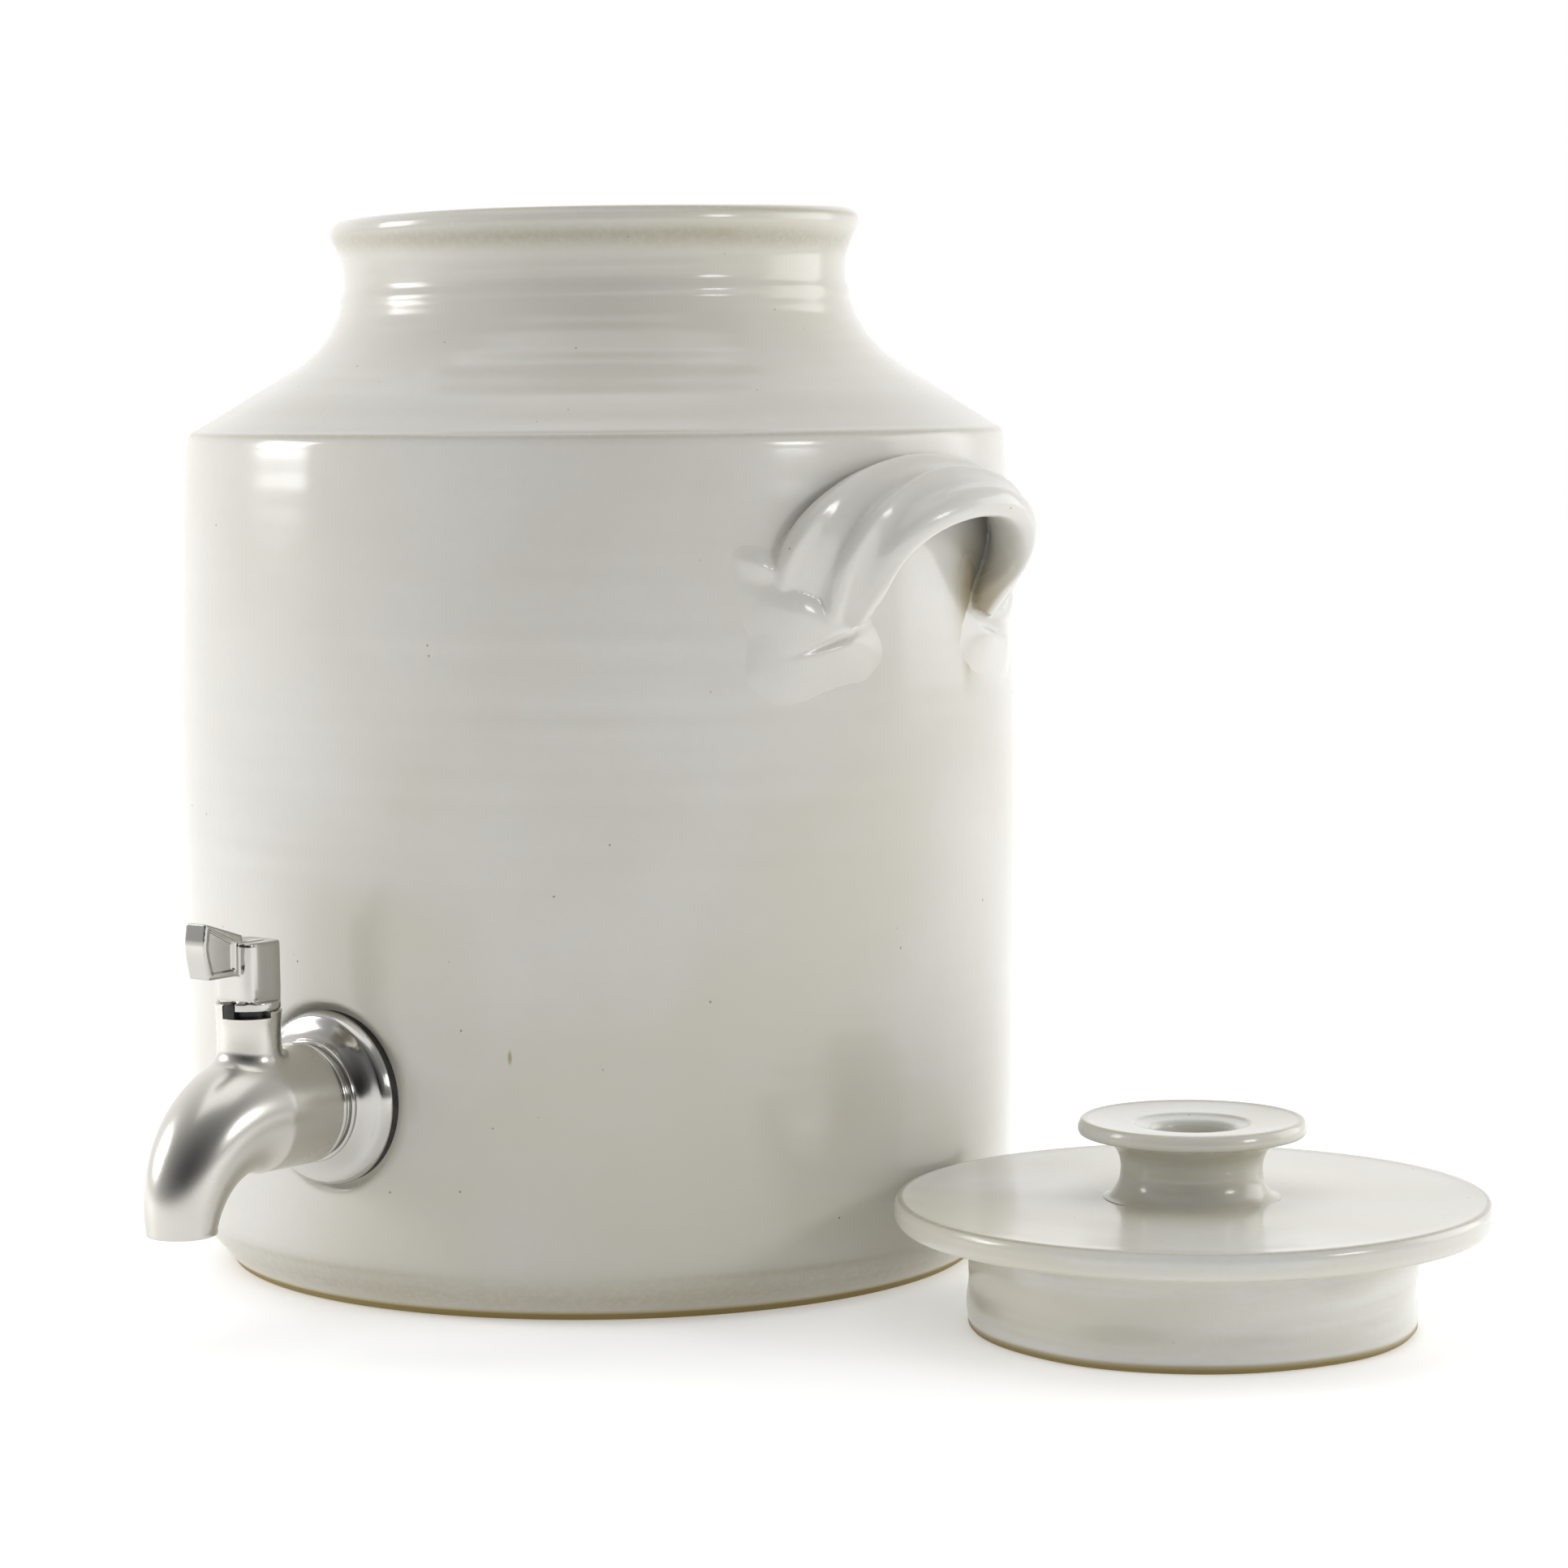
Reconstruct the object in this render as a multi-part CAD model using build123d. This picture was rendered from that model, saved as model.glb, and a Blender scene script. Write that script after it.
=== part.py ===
from build123d import *

import os
from math import cos, pi, sin, sqrt

# Stoneware crock fermenter with a lift-off lid, two strap handles and a quarter-turn spigot.
# Millimetres, +Z up. The origin is the centre of the crock's foot, on the table. The spigot points along -Y
# and the lid lies on the table at +X. Angles about the crock are measured from -Y towards +X.

# Crock
body_radius = 127.0  # widest part of the wall
widest_height = 108.0
foot_inset = 13.0  # the foot's radius is this much under the widest
bevel_inset = 5.0
bevel_height = 10.5
low_wall_inset = 2.0
low_wall_height = 33.0
shoulder_inset = 4.5
shoulder_height = 249.7
shoulder_rise = 46.6  # from the shoulder's edge up to the narrowest part of the neck
rim_rise = 18.2  # from the narrowest part of the neck to the top of the rim
rim_flare = 3.9
wall = 9.0
floor_thickness = 10.0
neck_wall = 10.6
mouth_clearance = 2.2  # round the lid's skirt
floor_corner = 20.0

# Lid
flange_radius = 83.5
flange_thickness = 6.0
skirt_radius = 62.8
skirt_height = 30.5
skirt_wall = 7.0
lid_extra = 1.5  # the plate is thicker than the flange, over the hollow
lid_gap = 1.0  # between the flange and the crock's wall, as it lies on the table
knob_radius = 32.0
knob_height = 22.0  # above the flange
knob_rim = 4.5
knob_neck_radius = 19.3
knob_foot_radius = 22.5
knob_hole_radius = 11.5
knob_hole_depth = 11.0
knob_dish = 1.6

# Handles
handle_angle = 86.3  # from the spigot
handle_back_half = 54.0  # half the spread of the upper edge, which is luted to the wall all along
handle_back_drop = 36.7
handle_back_rise = 27.5
handle_back_inset = 5.0  # of the upper edge, under the crock's widest radius
handle_front_half = 24.3
handle_front_bulge = 7.0
handle_front_drop = 55.7
handle_front_rise = 34.0
handle_front_reach = 24.0  # of the lower edge, beyond the crock's widest radius
handle_thickness = 11.0
handle_sections = 11

# Spigot's place and stack along its own axis, outwards through the wall
tap_height = 62.6
shank_radius = 8.0
shank_bore = 5.0
hole_clearance = 1.0
flat_depth = 3.0  # of the ground flat, under the widest radius
flat_radius = 26.5
inner_flat_radius = 17.0
gasket_thickness = 2.5
outer_gasket_radius = 24.6
inner_gasket_radius = 15.0
washer_thickness = 1.5
washer_radius = 14.0
nut_thickness = 7.0
nut_across_flats = 24.0
shank_past_nut = 7.0
thread_pitch = 1.5
thread_depth = 0.9
shank_in_barrel = 10.0
thread_fit = 0.02
cut_past = 0.1  # how far a cutting shape runs out of the surface it cuts
bezel_back_radius = 25.0
bezel_front_radius = 23.3
bezel_edge = 3.5
bezel_rise = 3.5
bezel_wall = 1.6
collar_radius = 16.8
collar_length = 4.8
collar_groove = 0.7
seal_ring_radius = 11.0
seal_section = 1.3

# Spigot body
barrel_radius = 17.25
barrel_length = 20.0  # from the collar to the valve's axis
barrel_end_radius = 17.1
bend_radius = 28.1
outlet_radius = 9.85
outlet_bore = 7.6
outlet_drop = 1.8
channel_radius = 4.5
elbow_sections = 7
neck_rise = 29.1  # from the spigot's axis to the neck's lower rim
neck_radius = 9.0
neck_raised = 2.0  # the stop lobe stands this much over the lower rim
neck_notch = 1.6

# Valve: angles are measured from the spout towards the right handle
plug_radius = 6.45
plug_clearance = 0.05
plug_depth = 11.5  # under the spigot's axis
plug_height = 23.8
plug_port = 3.6
plug_seal_section = 0.7
lower_seal_height = -8.0
upper_seal_height = 9.0
stem_side = 6.0
stem_height = 37.4
stem_clearance = 0.1
axial_gap = 0.2
lobe_gap = 0.3
retainer_thickness = 5.2
key_start = -7.5
key_end = 16.5
notch_end = 86.0
stop_lobe_span = 90.0
quarter_turn = 90.0
stop_gap = 1.5  # degrees at each end of the lever's travel

# Lever
hub_radius = 9.0
hub_top_radius = 9.5
hub_height = 7.4
post_side = 13.4
post_corner = 3.2
post_height = 9.6
post_blend = 4.5
fin_length = 21.2  # from the valve's axis to the fin's tip
fin_thickness = 7.3
fin_bottom_gap = 0.7
fin_outer_height = 16.4  # above the hub, at the tip
fin_inner_height = 11.8  # above the hub, at the post
fin_bulge = 1.6
panel_border = 1.6
panel_depth = 0.7
screw_radius = 1.5
screw_length = 12.0
screw_head_radius = 2.8
screw_head_height = 2.3
screw_socket_radius = 1.4
washer_under_head = 0.5
lever_web = 4.0
cap_width = 6.4
cap_length = 10.4
cap_thickness = 1.5

# Worked out
shoulder_radius = body_radius - shoulder_inset
mouth_radius = skirt_radius + mouth_clearance
throat_radius = mouth_radius + neck_wall
throat_height = shoulder_height + shoulder_rise
rim_height = throat_height + rim_rise
flange_top = skirt_height + flange_thickness
lid_x = body_radius - low_wall_inset + lid_gap + flange_radius

flat_face = body_radius - flat_depth
bezel_back = flat_face + gasket_thickness
bezel_front = bezel_back + bezel_edge + bezel_rise
barrel_back = bezel_front + collar_length
inner_face = body_radius - wall
inner_washer_face = inner_face - gasket_thickness
nut_face = inner_washer_face - washer_thickness
nut_end = nut_face - nut_thickness
valve_y = barrel_back + barrel_length

plug_bore = plug_radius + plug_clearance
notch_floor = neck_rise - neck_notch
raised_rim = neck_rise + neck_raised
hub_bottom = raised_rim + lobe_gap
lobe_bottom = neck_rise + lobe_gap
lobe_start = key_end + stop_gap
lobe_end = key_start - stop_lobe_span + 360 - quarter_turn - stop_gap
hub_top = hub_bottom + hub_height
post_top = hub_top + post_height
screw_seat = stem_height + lever_web

tap_place = Plane(origin=(0, 0, tap_height), x_dir=(1, 0, 0), z_dir=(0, -1, 0)).location
valve_place = Pos(0, -valve_y, tap_height)
UPWARDS = (Align.CENTER, Align.CENTER, Align.MIN)


def turned(outline):
    """Solid made by turning a closed outline of (radius, height) about the vertical axis."""
    return revolve(Plane.XZ * make_face(outline), Axis.Z)


def rod(radius, start, end):
    return Pos(0, 0, start) * Cylinder(radius, end - start, align=UPWARDS)


def tube(bore, radius, start, end):
    return rod(radius, start, end) - rod(bore, start, end)


def sector(bore, radius, first_angle, last_angle, start, end):
    """Part of a tube between two angles, measured from -Y towards +X."""
    corners = [(bore, start), (radius, start), (radius, end), (bore, end)]
    face = Plane.XZ * make_face(Polyline(*corners, close=True))
    piece = revolve(face, Axis.Z, revolution_arc=last_angle - first_angle)
    return Rot(0, 0, first_angle - 90) * piece


def ring_seal(radius, section, height):
    return Pos(0, 0, height) * Torus(radius, section)


def lower_wall_points(inset):
    """Points up the wall, moved in by inset, from the bevel to under the shoulder."""
    return [
        (body_radius - low_wall_inset - inset, low_wall_height),
        (body_radius - inset, widest_height),
        (body_radius - inset - 0.25 * shoulder_inset, 0.8 * shoulder_height),
    ]


def crock_outside(top_outline, top_corner):
    foot = (body_radius - foot_inset, 0)
    bevel = (body_radius - bevel_inset, bevel_height)
    edge = (shoulder_radius, shoulder_height)
    throat = (throat_radius, throat_height)
    span = shoulder_radius - throat_radius
    cove = [
        (throat_radius + 0.616 * span, shoulder_height + 0.238 * shoulder_rise),
        (throat_radius + 0.232 * span, shoulder_height + 0.494 * shoulder_rise),
    ]
    outline = Line((0, 0), foot) + Line(foot, bevel)
    outline += Spline(bevel, *lower_wall_points(0), edge)
    outline += Spline(edge, *cove, throat, tangents=[(-0.85, 0.5), (0, 1)])
    return outline + top_outline + Line(top_corner, (0, 0))


def crock_core():
    """The crock filled solid, used to trim what is luted on to its wall."""
    throat = (throat_radius, throat_height)
    axis_top = (0, throat_height)
    return turned(crock_outside(Line(throat, axis_top), axis_top))


def make_crock_body():
    throat = (throat_radius, throat_height)
    lip = (throat_radius + rim_flare, rim_height - 5.5)
    crown = ((lip[0] + mouth_radius) / 2, rim_height)
    mouth_top = (mouth_radius, rim_height - 7.5)
    flare = Spline(throat, lip, tangents=[(0, 1), (0.1, 1)])
    rim = Spline(lip, crown, mouth_top, tangents=[(0.1, 1), (0, -1)])
    mouth_foot = (mouth_radius, throat_height - neck_wall)
    under_edge = (shoulder_radius - wall, shoulder_height - neck_wall)
    span = under_edge[0] - mouth_radius
    rise = mouth_foot[1] - under_edge[1]
    vault = [(mouth_radius + 0.6 * span, under_edge[1] + 0.25 * rise)]
    low_points = lower_wall_points(wall)
    corner_start = low_points[0]
    corner_end = (corner_start[0] - floor_corner, floor_thickness)
    inside = Line(mouth_top, mouth_foot)
    inside += Spline(mouth_foot, *vault, under_edge, tangents=[(0.05, -1), (0.7, -0.7)])
    inside += Spline(under_edge, low_points[2], low_points[1], corner_start)
    inside += Spline(corner_start, corner_end, tangents=[(-0.05, -1), (-1, 0)])
    floor_centre = (0, floor_thickness)
    inside += Line(corner_end, floor_centre)
    body = turned(crock_outside(flare + rim + inside, floor_centre))
    hole = rod(shank_radius + hole_clearance, inner_face - 2 * wall, body_radius + wall)
    outer_flat = rod(flat_radius, flat_face, body_radius + wall)
    inner_flat = rod(inner_flat_radius, inner_face - 2 * wall, inner_face)
    return body - tap_place * (hole + outer_flat + inner_flat)


def handle_edge(turn, half, bulge, reach, root_height, rise):
    """Point on one edge of the strap: across the handle, out from the crock's axis, and up."""
    wall_distance = sqrt(body_radius**2 - half**2)
    across = half * sin(turn) + bulge * sin(2 * turn)
    out = wall_distance + (reach - wall_distance) * cos(turn)
    return Vector(across, -out, root_height + rise * cos(turn))


def handle_rib(turn):
    """Back point and front point of the strap at one turn of its arch."""
    back = handle_edge(
        turn,
        handle_back_half,
        0,
        body_radius - handle_back_inset,
        shoulder_height - handle_back_drop,
        handle_back_rise,
    )
    front = handle_edge(
        turn,
        handle_front_half,
        handle_front_bulge,
        body_radius + handle_front_reach,
        shoulder_height - handle_front_drop,
        handle_front_rise,
    )
    return back, front


def make_handle(angle, core):
    """Strap lofted through its ribs, run a little into the wall and trimmed to it."""
    past_wall = 1.12  # of a quarter turn, so that the ends run into the wall
    step = 0.01  # of a turn, to find the arch's direction
    ribs = []
    for index in range(handle_sections):
        turn = past_wall * pi / 2 * (2 * index / (handle_sections - 1) - 1)
        back, front = handle_rib(turn)
        back_next, front_next = handle_rib(turn + step)
        along = (back_next + front_next) - (back + front)
        width = front - back
        rib_plane = Plane(origin=(back + front) / 2, x_dir=width, z_dir=along)
        half_width = rib_plane.x_dir.dot(width) / 2
        ribs.append(rib_plane * Ellipse(half_width, handle_thickness / 2))
    strap = Rot(0, 0, angle) * loft(ribs)
    return strap - core


def make_lid_plate():
    corner = flange_thickness / 2
    ceiling = skirt_height - lid_extra
    hollow_radius = skirt_radius - skirt_wall
    outline = Polyline(
        (0, ceiling),
        (hollow_radius, ceiling),
        (hollow_radius, 0),
        (skirt_radius, 0),
        (skirt_radius, skirt_height),
        (flange_radius - corner, skirt_height),
    )
    outline += ThreePointArc(
        (flange_radius - corner, skirt_height),
        (flange_radius, skirt_height + corner),
        (flange_radius - corner, flange_top),
    )
    outline += Polyline((flange_radius - corner, flange_top), (0, flange_top), (0, ceiling))
    return Pos(lid_x, 0, 0) * turned(outline)


def make_lid_knob():
    top = flange_top + knob_height
    disc_under = top - knob_rim
    hole_floor = top - knob_hole_depth
    outline = Line((0, flange_top), (knob_foot_radius, flange_top))
    outline += Spline(
        (knob_foot_radius, flange_top),
        (knob_neck_radius, flange_top + 0.35 * knob_height),
        (knob_radius - 1, disc_under),
        tangents=[(-0.3, 1), (1, 0.2)],
    )
    outline += Polyline(
        (knob_radius - 1, disc_under),
        (knob_radius, disc_under + 1.5),
        (knob_radius - 0.8, top),
        (knob_radius - 2.5, top - 0.4),
        (knob_hole_radius + 3, top - knob_dish),
        (knob_hole_radius, top - knob_dish - 2.5),
        (knob_hole_radius, hole_floor),
        (0, hole_floor),
        (0, flange_top),
    )
    return Pos(lid_x, 0, 0) * turned(outline)


def make_threaded_shank():
    inner_end = nut_end - shank_past_nut
    shank = rod(shank_radius, inner_end, barrel_back + shank_in_barrel)
    count = int((nut_face - inner_end) / thread_pitch)
    groove_half = 0.44 * thread_pitch
    grooves = []
    for index in range(count):
        middle = inner_end + (index + 0.5) * thread_pitch
        groove = Polyline(
            (shank_radius - thread_depth, middle),
            (shank_radius + cut_past, middle - groove_half),
            (shank_radius + cut_past, middle + groove_half),
            close=True,
        )
        grooves.append(turned(groove))
    shank -= grooves
    return tap_place * (shank - rod(shank_bore, inner_end - 1, barrel_back + shank_in_barrel + 1))


def make_shank_nut():
    hexagon = RegularPolygon(nut_across_flats / sqrt(3), 6)
    nut = Pos(0, 0, nut_end) * extrude(hexagon, nut_thickness)
    return tap_place * (nut - rod(shank_radius + thread_fit, nut_end - 1, nut_face + 1))


def make_escutcheon():
    edge_front = bezel_back + bezel_edge
    bore = shank_radius + thread_fit
    outline = Polyline(
        (bezel_back_radius, bezel_back),
        (bezel_front_radius, edge_front),
        (collar_radius, bezel_front),
        (bore, bezel_front),
        (bore, bezel_front - bezel_wall),
        (collar_radius - bezel_wall, bezel_front - bezel_wall),
        (bezel_front_radius - bezel_wall, edge_front - bezel_wall),
        (bezel_back_radius - bezel_wall, bezel_back),
        close=True,
    )
    return tap_place * turned(outline)


def make_spigot_collar():
    third = collar_length / 3
    ring = tube(shank_radius + thread_fit, collar_radius, bezel_front, barrel_back)
    waist = rod(collar_radius + 1, bezel_front + third, barrel_back - third)
    waist -= rod(collar_radius - collar_groove, bezel_front, barrel_back)
    return tap_place * (ring - waist)


def bend_plane(turn):
    """Plane across the spout at one turn of its bend, in the spigot's own frame."""
    origin = (0, -bend_radius * (1 - cos(turn)), valve_y + bend_radius * sin(turn))
    return Plane(origin=origin, x_dir=(1, 0, 0), z_dir=(0, -sin(turn), cos(turn)))


def bent_horn(first_radius, last_radius):
    """Round horn that follows the spout's bend and narrows or widens evenly."""
    rings = []
    for index in range(elbow_sections):
        share = index / (elbow_sections - 1)
        radius = first_radius + (last_radius - first_radius) * share
        rings.append(bend_plane(share * pi / 2) * Circle(radius))
    return loft(rings)


def make_spigot_body():
    barrel = Cone(barrel_radius, barrel_end_radius, barrel_length, align=UPWARDS)
    barrel = Pos(0, 0, barrel_back) * barrel
    outlet_place = bend_plane(pi / 2).location
    outlet = outlet_place * Cylinder(outlet_radius, outlet_drop, align=UPWARDS)
    body = tap_place * (barrel + bent_horn(barrel_end_radius, outlet_radius) + outlet)
    body += valve_place * rod(neck_radius, 0, notch_floor)
    rim_parts = sector(0, neck_radius, notch_end, 360 + key_start, notch_floor, neck_rise)
    lobe_first = key_start - stop_lobe_span
    rim_parts += sector(0, neck_radius, lobe_first, key_start, notch_floor, raised_rim)
    body += valve_place * rim_parts

    shank_hole = rod(shank_radius + thread_fit, barrel_back, barrel_back + shank_in_barrel)
    inlet = rod(channel_radius, barrel_back, valve_y)
    outlet_hole = outlet_place * Cylinder(outlet_bore, 2 * outlet_drop, align=UPWARDS)
    seal_out = seal_ring_radius + seal_section
    seal_in = seal_ring_radius - seal_section
    seal_groove = tube(seal_in, seal_out, barrel_back, barrel_back + 2 * seal_section)
    waterway = shank_hole + inlet + bent_horn(channel_radius, outlet_bore) + outlet_hole
    body -= tap_place * waterway
    body -= tap_place * seal_groove
    body -= valve_place * rod(plug_bore, -plug_depth, raised_rim + 1)
    return body


def make_valve_plug():
    bottom = axial_gap - plug_depth
    plug = rod(plug_radius, bottom, plug_height)
    stem = Pos(0, 0, plug_height) * Box(
        stem_side, stem_side, stem_height - plug_height, align=UPWARDS
    )
    plug += stem
    plug -= Rot(0, 90, 0) * Cylinder(plug_port, 3 * plug_radius)
    for height in (lower_seal_height, upper_seal_height):
        low = height - plug_seal_section
        high = height + plug_seal_section
        plug -= tube(plug_radius - 2 * plug_seal_section, plug_radius + 1, low, high)
    screw_tip = screw_seat + washer_under_head - screw_length
    plug -= rod(screw_radius, screw_tip, stem_height + 1)
    return valve_place * plug


def make_valve_retainer():
    bottom = plug_height + axial_gap
    bore = stem_side / sqrt(2) + stem_clearance
    top = bottom + retainer_thickness
    bush = tube(bore, plug_bore, bottom, top)
    key = sector(plug_bore, neck_radius, key_start, key_end, notch_floor, hub_bottom - axial_gap)
    bridge = sector(bore + 0.5, plug_bore + 0.5, key_start, key_end, notch_floor, top)
    return valve_place * (bush + key + bridge)


def fin_outline(border):
    """Side view of the fin, out from the valve's axis and up, drawn in by border."""
    root = post_side / 2 - 1 + 2 * border
    bottom = hub_top + fin_bottom_gap + border
    tip = fin_length - border
    outer_top = hub_top + fin_outer_height - border
    inner_top = hub_top + fin_inner_height - border
    low_tip = (tip - fin_bulge, bottom)
    high_tip = (tip - fin_bulge, outer_top)
    outline = Line((root, bottom), low_tip)
    outline += ThreePointArc(low_tip, (tip, (bottom + outer_top) / 2), high_tip)
    outline += Line(high_tip, (root, inner_top)) + Line((root, inner_top), (root, bottom))
    return Plane.YZ * Rot(0, 180, 0) * make_face(outline)


def make_lever():
    hub = Cone(hub_radius, hub_top_radius, hub_height, align=UPWARDS)
    lever = Pos(0, 0, hub_bottom) * hub
    lever += sector(0, hub_radius, lobe_start, lobe_end, lobe_bottom, hub_bottom)
    foot = Plane.XY.offset(hub_top) * Circle(hub_top_radius)
    shoulder = Plane.XY.offset(hub_top + post_blend) * RectangleRounded(
        post_side, post_side, post_corner
    )
    lever += loft([foot, shoulder])
    post = extrude(RectangleRounded(post_side, post_side, post_corner), post_height - post_blend)
    lever += Pos(0, 0, hub_top + post_blend) * post
    lever += extrude(fin_outline(0), fin_thickness / 2, both=True)
    panel = extrude(fin_outline(panel_border), panel_depth)
    side_face = fin_thickness / 2 - panel_depth
    lever -= Pos(side_face, 0, 0) * panel
    lever -= Pos(-side_face, 0, 0) * extrude(fin_outline(panel_border), -panel_depth)

    socket_height = stem_height - lobe_bottom
    socket = Box(stem_side, stem_side, socket_height, align=UPWARDS)
    lever -= Pos(0, 0, lobe_bottom) * socket
    lever -= rod(screw_radius + stem_clearance, stem_height, screw_seat)
    lever -= rod(screw_head_radius + 0.4, screw_seat, post_top - cap_thickness)
    lever -= cap_blank()
    return valve_place * lever


def cap_blank():
    oblong = Rot(0, 0, 90) * SlotOverall(cap_length, cap_width)
    return Pos(0, 0, post_top - cap_thickness) * extrude(oblong, cap_thickness)


def make_lever_screw():
    head_bottom = screw_seat + washer_under_head
    screw = rod(screw_radius, head_bottom - screw_length, head_bottom)
    screw += rod(screw_head_radius, head_bottom, head_bottom + screw_head_height)
    socket = Pos(0, 0, head_bottom + 0.4 * screw_head_height) * extrude(
        RegularPolygon(screw_socket_radius, 6), screw_head_height
    )
    return valve_place * (screw - socket)


def build_nodes():
    core = crock_core()
    washer_bore = shank_radius + thread_fit
    groove_radius = plug_radius - plug_seal_section
    barrel_seal = ring_seal(seal_ring_radius, seal_section, barrel_back + seal_section)
    lever_washer = tube(
        screw_radius + stem_clearance,
        screw_head_radius + 0.3,
        screw_seat,
        screw_seat + washer_under_head,
    )
    return {
        "crock_body": make_crock_body(),
        "handle_right": make_handle(handle_angle, core),
        "handle_left": make_handle(handle_angle - 180, core),
        "lid_plate": make_lid_plate(),
        "lid_knob": make_lid_knob(),
        "threaded_shank": make_threaded_shank(),
        "outer_gasket": tap_place * tube(washer_bore, outer_gasket_radius, flat_face, bezel_back),
        "inner_gasket": tap_place
        * tube(washer_bore, inner_gasket_radius, inner_washer_face, inner_face),
        "inner_washer": tap_place * tube(washer_bore, washer_radius, nut_face, inner_washer_face),
        "shank_nut": make_shank_nut(),
        "escutcheon": make_escutcheon(),
        "spigot_collar": make_spigot_collar(),
        "shank_seal": tap_place * barrel_seal,
        "spigot_body": make_spigot_body(),
        "valve_plug": make_valve_plug(),
        "plug_seal_lower": valve_place
        * ring_seal(groove_radius, plug_seal_section, lower_seal_height),
        "plug_seal_upper": valve_place
        * ring_seal(groove_radius, plug_seal_section, upper_seal_height),
        "valve_retainer": make_valve_retainer(),
        "lever": make_lever(),
        "lever_washer": valve_place * lever_washer,
        "lever_screw": make_lever_screw(),
        "lever_cap": valve_place * cap_blank(),
    }


os.makedirs("parts", exist_ok=True)
for node_name, solid in build_nodes().items():
    export_step(solid, f"parts/{node_name}.step")
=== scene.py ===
from math import cos, pi, radians, sin, sqrt

import bmesh
import bpy
import numpy as np
from mathutils import Matrix, Vector, noise
from mathutils.bvhtree import BVHTree


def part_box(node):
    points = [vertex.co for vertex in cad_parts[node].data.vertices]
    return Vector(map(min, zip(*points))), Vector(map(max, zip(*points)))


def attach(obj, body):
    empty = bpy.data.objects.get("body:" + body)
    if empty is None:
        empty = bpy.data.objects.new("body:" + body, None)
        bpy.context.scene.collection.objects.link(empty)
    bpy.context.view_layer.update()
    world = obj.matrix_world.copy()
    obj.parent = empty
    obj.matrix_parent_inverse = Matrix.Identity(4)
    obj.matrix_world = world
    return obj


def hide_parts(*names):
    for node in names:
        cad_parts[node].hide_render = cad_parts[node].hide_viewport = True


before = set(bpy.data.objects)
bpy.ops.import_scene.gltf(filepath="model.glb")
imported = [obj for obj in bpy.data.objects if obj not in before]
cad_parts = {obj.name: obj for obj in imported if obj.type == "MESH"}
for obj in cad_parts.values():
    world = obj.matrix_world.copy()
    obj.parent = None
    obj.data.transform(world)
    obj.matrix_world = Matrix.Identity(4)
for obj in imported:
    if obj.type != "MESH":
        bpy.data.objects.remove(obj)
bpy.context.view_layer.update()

# Shapes are worked out in millimetres, with the spigot towards -Y, and go to Blender in metres.
MM = 0.001


def box_mm(node):
    """The lowest and the highest corner of a node's box."""
    low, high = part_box(node)
    return np.array(low) / MM, np.array(high) / MM


lid_low, lid_high = box_mm("lid_plate")
bezel_low, bezel_high = box_mm("escutcheon")
plug_low, plug_high = box_mm("valve_plug")
LID_X = (lid_low[0] + lid_high[0]) / 2
TAP_Z = (bezel_low[2] + bezel_high[2]) / 2
BEZEL_BACK = -bezel_high[1]
BEZEL_FRONT = -bezel_low[1]
COLLAR_FRONT = -box_mm("spigot_collar")[0][1]
VALVE_Y = -(plug_low[1] + plug_high[1]) / 2
WALL_R = 127.0
SHANK_BORE = 8.05
# The middle of each handle, in degrees round from the spigot.
HANDLES = {"handle_right": 86.3, "handle_left": 86.3 - 180}
FULL_TURN = np.arange(0, 360, 2.5)


# ---------------------------------------------------------------- meshes
def ease(x, start, end):
    """Goes from 0 at start to 1 at end, without a corner."""
    t = np.clip((np.asarray(x, float) - start) / (end - start), 0, 1)
    return t * t * (3 - 2 * t)


def bump(x, middle, width):
    """A bell that is 1 at its middle."""
    return np.exp(-(((x - middle) / width) ** 2))


def smooth_line(points, spacing):
    """Points about spacing apart on a smooth curve through the given ones."""
    p = np.array(points, float)
    d = np.r_[0, np.cumsum(np.linalg.norm(np.diff(p, axis=0), axis=1))]
    m = np.gradient(p, d, axis=0)
    t = np.linspace(0, d[-1], max(int(round(d[-1] / spacing)), 1) + 1)
    i = np.clip(np.searchsorted(d, t, side="right") - 1, 0, len(d) - 2)
    h = (d[i + 1] - d[i])[:, None]
    s = (t - d[i])[:, None] / h
    return (
        (2 * s**3 - 3 * s**2 + 1) * p[i]
        + (s**3 - 2 * s**2 + s) * h * m[i]
        + (3 * s**2 - 2 * s**3) * p[i + 1]
        + (s**3 - s**2) * h * m[i + 1]
    )


def profile(*parts):
    """One run of (radius, height) points from several (points, spacing) stretches."""
    rows = [smooth_line(points, spacing) for points, spacing in parts]
    return np.vstack([rows[0]] + [r[1:] for r in rows[1:]])


def skin(rows, closed=False):
    """Vertices and faces over rows of points. A row of one point is a pole."""
    starts = np.cumsum([0] + [len(r) for r in rows])
    m = max(len(r) for r in rows)
    index = [starts[i] + (np.arange(m) if len(r) > 1 else np.zeros(m, int)) for i, r in enumerate(rows)]
    if closed:
        index.append(index[0])
    faces = []
    for low, high in zip(index, index[1:]):
        for j in range(m):
            k = (j + 1) % m
            face = tuple(dict.fromkeys((int(low[j]), int(low[k]), int(high[k]), int(high[j]))))
            if len(face) > 2:
                faces.append(face)
    return np.vstack(rows), faces


def ring(radius, height, angles):
    """Points about the vertical axis, at angles from -Y towards +X."""
    if np.isscalar(radius) and radius < 1e-6:
        return np.array([[0, 0, float(np.mean(height))]])
    a = np.radians(angles)
    z = np.broadcast_to(np.asarray(height, float), a.shape)
    return np.stack([radius * np.sin(a), -radius * np.cos(a), z], axis=1)


def turned(outline, angles, closed=False):
    """An outline of radius and height, turned about the vertical axis."""
    return skin([ring(r, z, angles) for r, z in outline], closed)


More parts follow.
